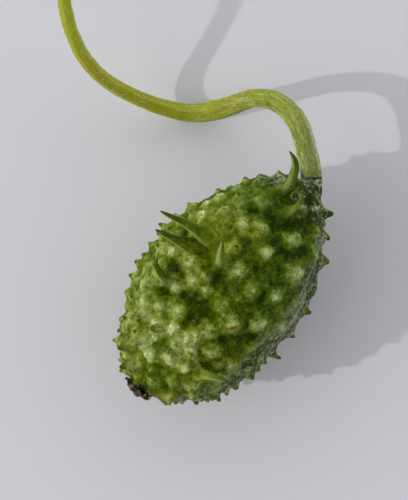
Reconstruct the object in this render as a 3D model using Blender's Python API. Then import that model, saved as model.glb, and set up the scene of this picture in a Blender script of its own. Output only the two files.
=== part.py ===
# West indian gherkin as picked: a warty oval fruit with its long curved stalk and the dry
# remnant of its flower. It lies on its side on a small flat spot.
#
# Frame: +X runs along the fruit to the stalk end, +Z is up, and the origin is on the surface
# that the fruit lies on, under the middle of its flat spot. Lengths are in metres.

import math
import random

import bmesh
import bpy
import numpy as np
from mathutils import Vector
from mathutils.kdtree import KDTree

MM = 0.001
GAP = 0.3 * MM                   # between pieces that meet

# The fruit between its warts
BLOSSOM_HALF = 23.8 * MM         # from the widest part to the blossom end
STALK_HALF = 25.0 * MM           # from the widest part to where the shoulder would close
FRUIT_RADIUS = 14.4 * MM         # at the widest part
SHOULDER_TAPER = 0.3             # how much slimmer than an ellipse the stalk half ends
AXIS_HEIGHT = 14.0 * MM          # of the fruit's middle line above the surface
SWELL = 0.2 * MM                 # slow rise and fall of the skin
SWELL_PITCH = 2.6 * MM
SWELL_FADE = 4.0 * MM            # distance from either end over which the swell dies out
SIDE_SWELL = 0.35 * MM           # how far the shoulder and the blossom end lie to one side
SIDE_PLACES = ((12.0 * MM, 7.0 * MM), (-15.0 * MM, 6.0 * MM))   # middle and width of each
OUTLINE_STEPS = 900              # of the outline between the blossom end and the neck's rim
RIM_STEPS = 40                   # across the neck's flat end

# The neck, which leans over to meet the stalk
NECK_RADIUS = 2.02 * MM
NECK_RISE = 15.0 * MM            # where the neck starts to part from the shoulder
NECK_BEND = 23.6 * MM            # where it starts to lean over
NECK_END = 25.5 * MM
NECK_TURN = math.radians(34)
RIM_SNAP = 0.45 * MM             # points nearer to the rim than this lie on it

# Warts: soft mounds, most of them with a spine on top
WART_COUNT = 236
WART_TRIES = 60                  # places drawn for each wart, of which the roomiest is kept
WART_SEED = 11
WART_FOOT = 2.1 * MM             # radius of a mound at its foot
WART_HEIGHT = (0.75 * MM, 1.0 * MM)
WART_REACH = (-22.6 * MM, 22.4 * MM)
BLOSSOM_CROWDING = 0.1           # how much closer warts stand at the blossom end
SPINE_FOOT = 0.7 * MM            # radius of a spine where it leaves its mound
SPINE_WAIST = 0.65               # radius of its lower part, as a share of the foot
SPINE_RISE = 0.4                 # height of its lower part, as a share of its length
SPINE_LENGTH = (0.3 * MM, 1.1 * MM)
SPINE_LEAN = 0.35                # sideways share of a spine's length
STUB_SHARE = 0.3                 # warts whose spine has broken off
STUB_DENT = 0.25 * MM
BARE_BELOW = 3.2 * MM            # a wart lower than this has no spine

BALL_STEPS = 2                   # of the ball that the skin starts from
SKIN_CUTS = 10                   # cuts across each edge of that ball

# Places on the upper side with no wart, as (along, across) in millimetres
BARE_PLACES = [(-6.6, 0.9), (-5.9, -7.6)]

# The warts of this stretch are all listed below: along from and to in millimetres, and the
# angle round the fruit from and to
LISTED_STRETCH = (-5.5, 20.0, -2.05, 0.75)

# A row of bare warts below the outline, at this angle and these places along in millimetres
LOWER_ROW_ANGLE = -1.93
LOWER_ROW = (-4.0, 0.2, 4.4, 8.6, 12.6, 16.4, 19.8)

# Warts without a spine on the upper side, as (along, across) in millimetres
UPPER_WARTS = [
    (4.4, -7.6), (9.4, -1.6), (3.8, -0.1), (10.1, -8.0), (-0.9, -8.7), (-4.0, -5.1), (2.9, -4.0),
    (-2.7, -1.5), (5.9, -11.2), (14.3, -4.0), (18.1, -6.0), (14.6, -8.3), (12.5, 1.6),
    (10.8, 4.5), (-9.8, -1.2), (-10.0, -5.7), (-9.5, -9.8), (-15.1, -3.6), (-2.1, 2.2),
    (-8.0, 3.4), (-10.5, 9.3), (0.1, 7.4), (7.9, 10.8), (1.1, -12.4), (-5.2, 6.5), (-10.9, 2.2),
    (-17.2, 2.5), (-15.4, -0.3), (-4.8, -10.3), (-2.3, 4.7), (19.6, -1.9), (-9.6, 6.7),
]

# Warts with a spine that stands out, as (along, across, length, foot radius) in millimetres,
# then the bearing of its tip and how far it leans, in degrees. An across that is more than
# the fruit's radius puts the wart on its outline.
LONG_SPINES = [
    (21.8, -15, 1.7, 0.75, -50, 5), (18.6, -15, 1.1, 0.6, -120, 80),
    (14.9, -15, 1.3, 1.3, -70, 10), (6.1, -15, 0.9, 0.75, -60, 20),
    (1.2, -15, 0.5, 0.55, -50, 30), (-3.5, -15, 1.7, 0.7, -60, 25),
    (-7.4, -15, 0.7, 0.9, -100, 15), (-9.0, -15, 1.0, 0.9, -120, 20),
    (-12.2, -15, 1.0, 1.1, -110, 20), (-15.6, -15, 1.5, 0.9, -100, 15),
    (-17.1, -15, 0.7, 0.7, -120, 10), (-18.7, -15, 1.2, 0.9, -140, 10),
    (-22.3, -15, 0.5, 0.8, -150, 10), (-18.5, 6.0, 2.3, 1.05, 135, 40),
    (-20.7, 3.9, 2.5, 1.15, 140, 30), (-16.4, 15, 0.3, 0.7, 120, 10),
    (-11.8, 15, 0.3, 0.7, 120, 10), (-6.3, 15, 0.8, 0.8, 100, 10),
    (1.6, 15, 1.2, 0.7, 110, 30), (12.8, 15, 0.6, 0.9, 60, 10),
    (17.4, 15, 0.8, 0.9, 70, 10), (19.7, 15, 0.3, 0.8, 50, 10),
    (13.9, 7.7, 1.0, 0.9, 60, 30), (15.8, 4.4, 2.3, 1.1, -19, 60),
    (-6.9, 8.3, 3.0, 1.35, 130, 65), (-12.8, 7.1, 2.0, 1.1, 150, 60),
    (-12.6, 4.3, 1.8, 1.1, 130, 60), (-14.3, 2.1, 2.3, 1.2, 130, 70),
    (-16.4, 4.8, 1.5, 0.95, 140, 50), (-19.1, -0.1, 1.9, 1.05, 150, 60),
    (-18.3, -4.0, 1.3, 0.85, -160, 45), (-21.0, -1.3, 1.3, 0.9, 170, 40),
    (-22.3, 1.2, 1.2, 0.9, 150, 40), (6.8, 2.9, 0.9, 0.7, -103, 70),
    (-0.3, 3.7, 1.5, 0.65, -21, 65), (22.2, 1.4, 1.0, 0.65, -50, 45),
]

# Fleshy spikes, each as points (along, across, above the axis, radius) in millimetres
SPIKE_BEVEL = 2                  # eight sides
SPIKES = {
    "long": [(5.5, 6.2, 11.0, 1.9), (5.1, 8.2, 13.2, 1.3), (4.7, 10.6, 14.8, 0.88),
             (4.2, 13.2, 16.1, 0.6), (3.7, 15.2, 16.9, 0.44), (3.4, 16.6, 17.3, 0.28)],
    "second": [(2.6, 7.2, 10.6, 1.7), (1.9, 9.0, 12.3, 1.15), (1.2, 11.4, 13.7, 0.7),
               (0.7, 13.6, 14.6, 0.52), (0.35, 15.0, 15.0, 0.3)],
    "neck": [(19.6, 2.3, 5.2, 1.4), (21.8, 2.15, 7.4, 1.05), (23.5, 2.6, 8.8, 0.85),
             (24.9, 3.4, 9.6, 0.68), (25.7, 4.6, 10.2, 0.48), (26.1, 5.9, 10.6, 0.24)],
    "curl": [(16.9, 0.2, 8.2, 1.2), (18.3, -0.6, 10.3, 0.78), (19.8, -0.8, 11.2, 0.54),
             (21.1, -0.55, 11.2, 0.44), (21.4, 0.4, 11.0, 0.37), (20.9, 1.15, 11.3, 0.32),
             (20.1, 1.1, 11.6, 0.27), (19.8, 0.3, 11.9, 0.18)],
    "upright": [(3.0, 2.5, 12.8, 1.3), (4.0, 3.8, 15.6, 0.78), (5.3, 4.7, 17.2, 0.5),
                (6.4, 5.4, 18.1, 0.24)],
    "hook": [(-4.9, 7.4, 10.8, 1.6), (-5.1, 8.8, 12.5, 1.05), (-4.9, 10.3, 13.2, 0.72),
             (-4.2, 11.4, 13.2, 0.48), (-3.4, 11.8, 12.7, 0.25)],
    "low": [(-14.0, -6.0, 9.3, 1.3), (-13.6, -7.0, 10.9, 0.84), (-13.0, -8.3, 11.7, 0.58),
            (-12.4, -9.5, 12.0, 0.46), (-12.0, -10.3, 11.9, 0.3)],
}

# The stalk's middle line from the neck to the cut end, as (X, Y, Z, radius) in millimetres
STALK_ROUTE = [
    (29.52, 4.99, 14.4, 1.94), (31.7, 8.6, 14.5, 1.9), (32.5, 12.4, 13.9, 1.84),
    (30.9, 17.2, 10.6, 1.8), (27.6, 19.9, 6.0, 1.88), (25.0, 21.8, 3.3, 1.96),
    (22.4, 24.2, 1.95, 1.94), (19.9, 27.8, 2.75, 1.74), (18.0, 31.9, 4.9, 1.58),
    (16.6, 36.0, 7.5, 1.46), (15.7, 40.2, 10.8, 1.36), (15.8, 44.6, 14.8, 1.3),
    (17.4, 49.0, 18.4, 1.26), (20.3, 53.2, 20.8, 1.24), (24.5, 57.4, 22.2, 1.22),
]
STALK_START_RADIUS = 2.04        # in millimetres, against the neck
STALK_HANDLE = 1.5 * MM          # reach of the curve's straight start
STALK_RIDGES = 6
STALK_GROOVE = 0.1               # depth of a groove as a share of the radius
STALK_STEPS = 5                  # rings from one point of the route to the next

# The dry flower at the blossom end
FLOWER_RADIUS = 2.9 * MM
FLOWER_DEPTH = 1.0 * MM
FLOWER_SEAT = GAP + 0.1 * MM     # between the fruit's own outline and the flower
FLOWER_RIM = 0.25 * MM           # half thickness at the edge
FLOWER_PETALS = 5
FLOWER_LOBE = 0.28               # how deep the petals are cut
FLOWER_CREASES = (9.0, 4.0, 0.25)   # two pitches and the depth of the crumpling
FLOWER_ROUGHNESS = (0.05, 0.12)  # of the edge and of the face
FLOWER_SEED = 5


def remove_everything():
    for thing in list(bpy.data.objects):
        bpy.data.objects.remove(thing, do_unlink=True)


def new_collection(name):
    group = bpy.data.collections.new(name)
    bpy.context.scene.collection.children.link(group)
    return group


def material(name, colour, roughness):
    made = bpy.data.materials.new(name)
    made.use_nodes = True
    shader = made.node_tree.nodes["Principled BSDF"]
    shader.inputs["Base Color"].default_value = (*colour, 1.0)
    shader.inputs["Roughness"].default_value = roughness
    shader.inputs["Metallic"].default_value = 0.0
    return made


def mesh_object(name, bm, group, finish):
    mesh = bpy.data.meshes.new(name)
    bm.to_mesh(mesh)
    bm.free()
    made = bpy.data.objects.new(name, mesh)
    group.objects.link(made)
    mesh.materials.append(finish)
    return made


def smooth_step(value):
    held = np.clip(value, 0.0, 1.0)
    return held * held * (3.0 - 2.0 * held)


# The fruit's outline, turned round the X axis

def core_radius(along):
    """Radius between the warts at a place along the fruit, with the neck."""
    side = along / np.where(along > 0.0, STALK_HALF, BLOSSOM_HALF)
    body = FRUIT_RADIUS * np.sqrt(np.clip(1.0 - side ** 2, 0.0, None))
    body = body * (1.0 - SHOULDER_TAPER * np.clip(side, 0.0, None) ** 2)
    neck = NECK_RADIUS * smooth_step((along - NECK_RISE) / (NECK_BEND - NECK_RISE))
    return np.cbrt(body ** 3 + neck ** 3)


def outline():
    """Distance along the outline, place along the axis, radius and share of the area."""
    turn = np.linspace(0.0, math.pi, OUTLINE_STEPS)
    half = np.where(turn < math.pi / 2, BLOSSOM_HALF, NECK_END)
    along = -half * np.cos(turn)
    radius = core_radius(along)
    rim = len(along) - 1
    cap = np.linspace(1.0, 0.0, RIM_STEPS)[1:]
    along = np.concatenate([along, np.full(len(cap), NECK_END)])
    radius = np.concatenate([radius, radius[rim] * cap])
    step = np.hypot(np.diff(along), np.diff(radius))
    distance = np.concatenate([[0.0], np.cumsum(step)])
    band = step * 0.5 * (radius[1:] + radius[:-1])
    area = np.concatenate([[0.0], np.cumsum(band)])
    return distance, along, radius, area / area[-1], distance[rim]


def turned_points(share, angle):
    """Points and normals on the core, for shares of its area and angles round its axis."""
    distance, along, radius, area, rim = outline()
    place = np.interp(share, area, distance)
    place = np.where(np.abs(place - rim) < RIM_SNAP, rim, place)
    x = np.interp(place, distance, along)
    r = np.interp(place, distance, radius)
    slope_x = np.interp(place, distance, np.gradient(along, distance))
    slope_r = np.interp(place, distance, np.gradient(radius, distance))
    points = np.stack([x, r * np.sin(angle), r * np.cos(angle)], axis=-1)
    normals = np.stack([-slope_r, slope_x * np.sin(angle), slope_x * np.cos(angle)], axis=-1)
    normals /= np.linalg.norm(normals, axis=-1, keepdims=True)
    return points, normals


def share_at(x):
    """Share of the core's area that lies nearer to the blossom end than x."""
    _, along, _, area, _ = outline()
    return np.interp(x, along, area)


def lean_neck(points):
    """Turn the neck over towards the stalk, about the middle of its end."""
    turn = NECK_TURN * smooth_step((points[:, 0] - NECK_BEND) / (NECK_END - NECK_BEND))
    x = points[:, 0] - NECK_END
    y = points[:, 1]
    leaned = points.copy()
    leaned[:, 0] = NECK_END + x * np.cos(turn) - y * np.sin(turn)
    leaned[:, 1] = x * np.sin(turn) + y * np.cos(turn)
    return leaned


# Warts

class Wart:
    """A mound on the core with a spine, or with a dent where the spine has broken off."""

    def __init__(self, centre, normal, draw, seen):
        self.centre = centre
        self.normal = normal
        self.height = draw.uniform(*WART_HEIGHT)
        low = centre[2] + AXIS_HEIGHT < BARE_BELOW
        self.stub = low or (seen is None and draw.random() < STUB_SHARE)
        self.foot = SPINE_FOOT
        length = draw.uniform(*SPINE_LENGTH)
        side = np.array([draw.uniform(-1, 1) for _ in range(3)])
        side -= normal * side.dot(normal)
        self.spine = length * (normal + SPINE_LEAN * side)
        if seen is not None:
            self.lean_over(*seen)

    def lean_over(self, length, foot, bearing, bend):
        heading = np.array([math.cos(math.radians(bearing)), math.sin(math.radians(bearing)), 0.0])
        heading -= self.normal * heading.dot(self.normal)
        heading /= np.linalg.norm(heading)
        tilt = math.radians(bend)
        self.foot = foot * MM
        self.spine = length * MM * (math.cos(tilt) * self.normal + math.sin(tilt) * heading)


BARE = (0.0, SPINE_FOOT / MM, 0.0, 0.0)     # a wart without a spine or a dent


def angle_at(along, across):
    reach = across * MM / float(core_radius(np.array(along * MM)))
    return math.asin(min(1.0, max(-1.0, reach)))


def seen_places():
    """Share of the area, angle and spine of the warts and spikes that stand out."""
    places = [(share_at(x * MM), angle_at(x, y), BARE) for x, y in UPPER_WARTS]
    places += [(share_at(x * MM), LOWER_ROW_ANGLE, BARE) for x in LOWER_ROW]
    places += [(share_at(x * MM), angle_at(x, y), rest) for x, y, *rest in LONG_SPINES]
    for route in SPIKES.values():
        along, across, above, _ = route[0]
        places.append((share_at(along * MM), math.atan2(across, above), BARE))
    return places


def in_listed_stretch(points):
    first, last, least, most = LISTED_STRETCH
    angle = np.arctan2(points[:, 1], points[:, 2])
    inside = (points[:, 0] > first * MM) & (points[:, 0] < last * MM)
    return inside & (angle > least) & (angle < most)


def wart_places():
    """Seen warts first, then the rest, each at the roomiest of many places drawn by a seed."""
    draw = random.Random(WART_SEED)
    places = seen_places()
    bare, _ = turned_points(share_at(np.array([x * MM for x, _ in BARE_PLACES])),
                            np.array([angle_at(x, y) for x, y in BARE_PLACES]))
    seen, _ = turned_points(np.array([p[0] for p in places]), np.array([p[1] for p in places]))
    kept = np.vstack([bare, seen])
    low, high = share_at(WART_REACH[0]), share_at(WART_REACH[1])
    while len(places) < WART_COUNT:
        tries = np.array([(draw.uniform(low, high), draw.uniform(0, 2 * math.pi))
                          for _ in range(WART_TRIES)])
        offered, _ = turned_points(tries[:, 0], tries[:, 1])
        apart = np.linalg.norm(offered[:, None, :] - kept[None, :, :], axis=-1)
        room = apart.min(axis=1) * (1.0 - BLOSSOM_CROWDING * offered[:, 0] / STALK_HALF)
        room[in_listed_stretch(offered)] = 0.0
        best = int(np.argmax(room))
        kept = np.vstack([kept, offered[best]])
        places.append((*tries[best], None))
    points, normals = turned_points(np.array([p[0] for p in places]),
                                    np.array([p[1] for p in places]))
    return [Wart(point, normal, draw, place[2])
            for point, normal, place in zip(points, normals, places)]


# The fruit's skin

def even_ball():
    """A unit ball of small even triangles."""
    bm = bmesh.new()
    bmesh.ops.create_icosphere(bm, subdivisions=BALL_STEPS, radius=1.0)
    bmesh.ops.subdivide_edges(bm, edges=bm.edges[:], cuts=SKIN_CUTS, use_grid_fill=True)
    for vert in bm.verts:
        vert.co.normalize()
    bm.verts.ensure_lookup_table()
    return bm


def gather_round(wart, peak, ring, outer, points):
    """Bring the nearest point of the skin, and the ring round it, to the wart's middle."""
    shift = wart.centre - points[peak]
    for index in outer:
        points[index] = points[index] + 0.5 * shift
    around = []
    for index in ring:
        away = points[index] - points[peak]
        away = away - wart.normal * away.dot(wart.normal)
        around.append(wart.centre + SPINE_WAIST * wart.foot * away / np.linalg.norm(away))
    for index, place in zip(ring, around):
        points[index] = place
    points[peak] = wart.centre


def skin(group, finish):
    bm = even_ball()
    ball = np.array([vert.co[:] for vert in bm.verts])
    share = 0.5 * (1.0 + ball[:, 2])
    angle = np.arctan2(ball[:, 0], ball[:, 1])
    points, normals = turned_points(share, angle)

    tree = KDTree(len(points))
    for index, point in enumerate(points):
        tree.insert(point, index)
    tree.balance()
    warts = wart_places()
    peaks = []
    rings = []
    for wart in warts:
        peak = tree.find(wart.centre)[1]
        ring = [edge.other_vert(bm.verts[peak]) for edge in bm.verts[peak].link_edges]
        outer = {edge.other_vert(vert).index for vert in ring for edge in vert.link_edges}
        ring = [vert.index for vert in ring]
        outer -= {peak, *ring}
        gather_round(wart, peak, ring, outer, points)
        peaks.append(peak)
        rings.append(ring)

    rise = np.zeros(len(points))
    for wart in warts:
        apart = np.linalg.norm(points - wart.centre, axis=1) / WART_FOOT
        rise += wart.height * np.clip(1.0 - apart ** 2, 0.0, None) ** 2
    wave = np.sin(points[:, 0] / SWELL_PITCH) * np.sin(points[:, 1] / SWELL_PITCH + 1.0)
    wave += np.cos(points[:, 2] / SWELL_PITCH + points[:, 0] / (2 * SWELL_PITCH))
    ends = np.minimum(points[:, 0] + BLOSSOM_HALF, NECK_BEND - points[:, 0])
    rise += 0.5 * SWELL * wave * smooth_step(ends / SWELL_FADE)
    for middle, width in SIDE_PLACES:
        rise -= SIDE_SWELL * np.sin(angle) * np.exp(-((points[:, 0] - middle) / width) ** 2)
    skinned = lean_neck(points) + normals * rise[:, None]
    for wart, peak, ring in zip(warts, peaks, rings):
        if wart.stub:
            skinned[peak] -= STUB_DENT * wart.normal
        else:
            skinned[peak] += wart.spine
            skinned[ring] += SPINE_RISE * wart.spine
    skinned[:, 2] = np.maximum(skinned[:, 2] + AXIS_HEIGHT, 0.0)
    for vert, place in zip(bm.verts, skinned):
        vert.co = place
    return mesh_object("fruit", bm, group, finish)


# Tubes: spikes and stalk

def tube(name, route, group):
    """A round tapering tube through points that carry a radius, all in millimetres."""
    curve = bpy.data.curves.new(name, "CURVE")
    curve.dimensions = "3D"
    curve.bevel_depth = MM
    curve.bevel_resolution = SPIKE_BEVEL
    curve.use_fill_caps = True
    spline = curve.splines.new("POLY")
    spline.points.add(len(route) - 1)
    for point, (x, y, z, radius) in zip(spline.points, route):
        point.co = (x * MM, y * MM, z * MM, 1.0)
        point.radius = radius
    made = bpy.data.objects.new(name, curve)
    group.objects.link(made)
    return made


def as_mesh(thing, group):
    """The closed mesh of a curve object, which takes the curve's place."""
    graph = bpy.context.evaluated_depsgraph_get()
    mesh = bpy.data.meshes.new_from_object(thing.evaluated_get(graph))
    bm = bmesh.new()
    bm.from_mesh(mesh)
    bmesh.ops.remove_doubles(bm, verts=bm.verts[:], dist=0.001 * MM)
    bmesh.ops.recalc_face_normals(bm, faces=bm.faces[:])
    bm.to_mesh(mesh)
    bm.free()
    made = bpy.data.objects.new(thing.name + ".body", mesh)
    made.matrix_world = thing.matrix_world
    group.objects.link(made)
    bpy.data.objects.remove(thing, do_unlink=True)
    return made


def join_spikes(fruit, guides):
    """Grow the fleshy spikes out of the skin, as one solid with it."""
    spikes = new_collection("spikes")
    for name, route in SPIKES.items():
        raised = [(x, y, z + AXIS_HEIGHT / MM, radius) for x, y, z, radius in route]
        as_mesh(tube(name, raised, guides), spikes)
    union = fruit.modifiers.new("spikes", "BOOLEAN")
    union.operation = "UNION"
    union.operand_type = "COLLECTION"
    union.collection = spikes
    graph = bpy.context.evaluated_depsgraph_get()
    joined = bpy.data.meshes.new_from_object(fruit.evaluated_get(graph))
    fruit.modifiers.clear()
    fruit.data = joined
    for spike in list(spikes.objects):
        bpy.data.objects.remove(spike, do_unlink=True)
    bpy.data.collections.remove(spikes)


def ridged_profile(guides):
    """The stalk's cross-section at a radius of one metre, scaled down along the route."""
    curve = bpy.data.curves.new("ridged_profile", "CURVE")
    curve.dimensions = "2D"
    spline = curve.splines.new("POLY")
    count = 2 * STALK_RIDGES
    spline.points.add(count - 1)
    for index, point in enumerate(spline.points):
        angle = -2 * math.pi * index / count
        radius = 1.0 if index % 2 == 0 else 1.0 - STALK_GROOVE
        point.co = (radius * math.cos(angle), radius * math.sin(angle), 0.0, 1.0)
    spline.use_cyclic_u = True
    made = bpy.data.objects.new("ridged_profile", curve)
    made.hide_render = True
    made.display_type = "WIRE"
    guides.objects.link(made)
    return made


def stalk(group, guides, finish):
    heading = Vector((math.cos(NECK_TURN), math.sin(NECK_TURN), 0.0))
    start = Vector((NECK_END, 0.0, AXIS_HEIGHT)) + GAP * heading
    curve = bpy.data.curves.new("stalk", "CURVE")
    curve.dimensions = "3D"
    curve.resolution_u = STALK_STEPS
    curve.bevel_mode = "OBJECT"
    curve.bevel_object = ridged_profile(guides)
    curve.use_fill_caps = True
    spline = curve.splines.new("BEZIER")
    spline.bezier_points.add(len(STALK_ROUTE))
    for point, (x, y, z, radius) in zip(spline.bezier_points[1:], STALK_ROUTE):
        point.co = (x * MM, y * MM, z * MM)
        point.radius = radius * MM
        point.handle_left_type = "AUTO"
        point.handle_right_type = "AUTO"
    first = spline.bezier_points[0]
    first.co = start
    first.radius = STALK_START_RADIUS * MM
    first.handle_left_type = "FREE"
    first.handle_right_type = "FREE"
    first.handle_left = start - STALK_HANDLE * heading
    first.handle_right = start + STALK_HANDLE * heading
    curve.materials.append(finish)
    group.objects.link(bpy.data.objects.new("stalk", curve))


def flower_remnant(group, finish):
    """A shrivelled five-lobed clump that lies close against the blossom end."""
    draw = random.Random(FLOWER_SEED)
    edge_roughness, face_roughness = FLOWER_ROUGHNESS
    first_pitch, second_pitch, crease = FLOWER_CREASES
    bm = bmesh.new()
    bmesh.ops.create_icosphere(bm, subdivisions=2, radius=1.0)
    bmesh.ops.subdivide_edges(bm, edges=bm.edges[:], cuts=2, use_grid_fill=True)
    for vert in bm.verts:
        out, y, z = vert.co
        angle = math.atan2(-y, z)
        lobe = 1.0 - FLOWER_LOBE + FLOWER_LOBE * math.cos(FLOWER_PETALS * angle + 2.0 * out)
        lobe += draw.uniform(-edge_roughness, edge_roughness)
        across = FLOWER_RADIUS * math.hypot(y, z) * lobe
        seat = BLOSSOM_HALF * math.sqrt(1.0 - (across / FRUIT_RADIUS) ** 2) + FLOWER_SEAT
        crumple = 1.0 - crease + crease * math.sin(first_pitch * y + second_pitch * z)
        crumple += draw.uniform(-face_roughness, face_roughness)
        proud = FLOWER_DEPTH * max(out, 0.0) * crumple + FLOWER_RIM * (1.0 + min(out, 0.0))
        vert.co = (-seat - proud, across * math.sin(angle), AXIS_HEIGHT + across * math.cos(angle))
    return mesh_object("flower_remnant", bm, group, finish)


def build():
    remove_everything()
    gherkin = new_collection("west_indian_gherkin")
    guides = new_collection("guides")
    fruit = skin(gherkin, material("gherkin_skin", (0.11, 0.16, 0.028), 0.5))
    join_spikes(fruit, guides)
    stalk(gherkin, guides, material("stalk_skin", (0.28, 0.32, 0.05), 0.55))
    remnant = flower_remnant(gherkin, material("dry_flower", (0.05, 0.03, 0.013), 0.9))
    for thing in (fruit, remnant):
        thing.data.shade_smooth()


build()
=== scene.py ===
import math
import random

import bpy
import numpy as np
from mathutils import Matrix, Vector, noise


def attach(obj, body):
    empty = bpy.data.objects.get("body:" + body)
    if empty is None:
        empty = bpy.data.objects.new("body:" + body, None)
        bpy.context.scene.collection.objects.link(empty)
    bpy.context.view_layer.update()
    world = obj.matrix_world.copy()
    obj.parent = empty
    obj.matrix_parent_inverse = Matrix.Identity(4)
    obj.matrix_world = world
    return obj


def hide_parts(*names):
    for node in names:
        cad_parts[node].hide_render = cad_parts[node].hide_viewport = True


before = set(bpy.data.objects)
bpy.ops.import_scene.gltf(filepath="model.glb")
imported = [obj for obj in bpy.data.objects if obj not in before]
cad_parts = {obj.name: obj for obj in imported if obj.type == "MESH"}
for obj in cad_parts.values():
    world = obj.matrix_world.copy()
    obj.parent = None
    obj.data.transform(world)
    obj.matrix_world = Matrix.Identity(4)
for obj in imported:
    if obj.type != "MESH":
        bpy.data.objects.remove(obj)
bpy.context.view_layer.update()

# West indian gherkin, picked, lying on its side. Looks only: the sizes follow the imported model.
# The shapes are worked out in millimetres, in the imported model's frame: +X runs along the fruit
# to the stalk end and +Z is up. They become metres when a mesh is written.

mm = 0.001
bpy.ops.object.select_all(action="DESELECT")


# Small helpers

def smoothStep(value):
    held = np.clip(value, 0.0, 1.0)
    return held * held * (3.0 - 2.0 * held)


def bell(distance, width):
    return np.exp(-(distance / width) ** 2)


def mound(distance, foot):
    return np.clip(1.0 - (distance / foot) ** 2, 0.0, None) ** 2


def lengths(vectors):
    return np.linalg.norm(vectors, axis=-1)


def unit(vectors):
    return vectors / np.linalg.norm(vectors, axis=-1, keepdims=True)


def runningSum(steps):
    return np.concatenate([[0.0], np.cumsum(steps)])


def meshPoints(mesh):
    flat = np.empty(len(mesh.vertices) * 3)
    mesh.vertices.foreach_get("co", flat)
    return flat.reshape(-1, 3)


def setMeshPoints(mesh, points):
    # the points are in millimetres
    mesh.vertices.foreach_set("co", np.ascontiguousarray(points * mm).ravel())
    mesh.update()


def addVectors(mesh, name, *columns):
    layer = mesh.attributes.new(name, "FLOAT_VECTOR", "POINT")
    layer.data.foreach_set("vector", np.stack(columns, axis=-1).astype(float).ravel())


def addValues(mesh, name, values):
    mesh.attributes.new(name, "FLOAT", "POINT").data.foreach_set("value", values)


def lumps(points, size, octaves=3):
    # smooth noise of about -1 to 1, with lumps of the given size
    return np.array([noise.fractal(Vector(p), 1.0, 2.0, octaves) for p in points / size])


def pick(thing):
    bpy.ops.object.select_all(action="DESELECT")
    thing.select_set(True)
    bpy.context.view_layer.objects.active = thing


def newObject(name, data):
    thing = bpy.data.objects.new(name, data)
    bpy.context.collection.objects.link(thing)
    return thing


def fineBall(name, steps, cuts):
    bpy.ops.mesh.primitive_ico_sphere_add(subdivisions=steps, radius=1.0)
    ball = bpy.context.active_object
    ball.name = name
    bpy.ops.object.mode_set(mode="EDIT")
    bpy.ops.mesh.select_mode(type="FACE")
    bpy.ops.mesh.subdivide(number_cuts=cuts)
    bpy.ops.mesh.select_all(action="DESELECT")
    bpy.ops.object.mode_set(mode="OBJECT")
    return ball


def finishPiece(piece, material, node=None):
    piece.data.materials.clear()
    piece.data.materials.append(material)
    piece.data.shade_smooth()
    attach(piece, "root")
    if node:
        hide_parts(node)
    print(piece.name, "has", len(piece.data.polygons), "faces")
    return piece


class Shader:
    # a new material or world, with short calls that add and link its nodes

    def __init__(self, name, kind="materials", **settings):
        self.owner = getattr(bpy.data, kind).new(name)
        self.owner.use_nodes = True
        self.tree = self.owner.node_tree
        self.surface = self.tree.nodes["Background" if kind == "worlds" else "Principled BSDF"]
        self.finish(**settings)

    def feedAll(self, node, inputs):
        for socket, value in inputs.items():
            self.feed(node.inputs[socket.replace("_", " ")], value)

    def add(self, kind, **inputs):
        node = self.tree.nodes.new("ShaderNode" + kind)
        self.feedAll(node, inputs)
        return node

    def finish(self, **inputs):
        self.feedAll(self.surface, inputs)
        return self.owner

    def feed(self, socket, value):
        if isinstance(value, bpy.types.NodeSocket):
            self.tree.links.new(value, socket)
        elif isinstance(value, tuple) and socket.type == "RGBA":
            socket.default_value = (*value, 1.0)
        else:
            socket.default_value = value

    def objectPlace(self):
        return self.add("TexCoord").outputs["Object"]

    def attribute(self, name, output="Vector"):
        node = self.add("Attribute")
        node.attribute_name = name
        return node.outputs[output]

    def parts(self, vector):
        return self.add("SeparateXYZ", Vector=vector).outputs[:]

    def noise(self, place, scale, detail=3.0, roughness=0.55):
        node = self.add("TexNoise", Vector=place, Scale=scale, Detail=detail, Roughness=roughness)
        return node.outputs["Fac"]

    def math(self, kind, *values):
        node = self.add("Math")
        node.operation = kind
        for socket, value in zip(node.inputs, values):
            self.feed(socket, value)
        return node.outputs[0]

    def chain(self, kind, value, *others):
        for other in others:
            value = self.math(kind, value, other)
        return value

    def times(self, *values):
        return self.chain("MULTIPLY", *values)

    def plus(self, *values):
        return self.chain("ADD", *values)

    def scaled(self, value, factor, added):
        return self.math("MULTIPLY_ADD", value, factor, added)

    def ramp(self, value, low, high, start=0.0, end=1.0):
        # eases from start to end while the value goes from low to high
        node = self.add("MapRange", Value=value)
        node.interpolation_type = "SMOOTHSTEP"
        for socket, number in zip(node.inputs[1:5], (low, high, start, end)):
            socket.default_value = number
        return node.outputs["Result"]

    def mix(self, amount, first, second):
        node = self.add("Mix")
        node.data_type = "RGBA"
        for index, value in zip((0, 6, 7), (amount, first, second)):
            self.feed(node.inputs[index], value)
        return node.outputs[2]

    def layers(self, colour, *rows):
        # lays colours over the first one: an amount may be (value, low, high, most), which
        # eases from nothing to the most while the value goes from low to high
        for amount, tint in rows:
            if isinstance(amount, tuple):
                *span, most = amount
                amount = self.ramp(*span, 0.0, most)
            colour = self.mix(amount, colour, tint)
        return colour

    def palette(self, value, stops):
        # a run of colours, each at its place from 0 to 1
        node = self.add("ValToRGB", Fac=value)
        elements = node.color_ramp.elements
        while len(elements) < len(stops):
            elements.new(0.5)
        for element, (place, colour) in zip(elements, stops):
            element.position = place
            element.color = (*colour, 1.0)
        return node.outputs["Color"]

    def bump(self, height, strength, distance):
        node = self.add("Bump", Height=height, Strength=strength, Distance=distance)
        return node.outputs["Normal"]


# Camera: straight down from about a third of a metre, turned so that the fruit lies aslant

cameraSetup = {
    "place": (3.02 * mm, 6.94 * mm, 344.0 * mm),
    "turn": math.radians(-50.47),
    "sensor": 36.0,
    "lens": 130.2,
    "clipStart": 0.01,
}


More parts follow.
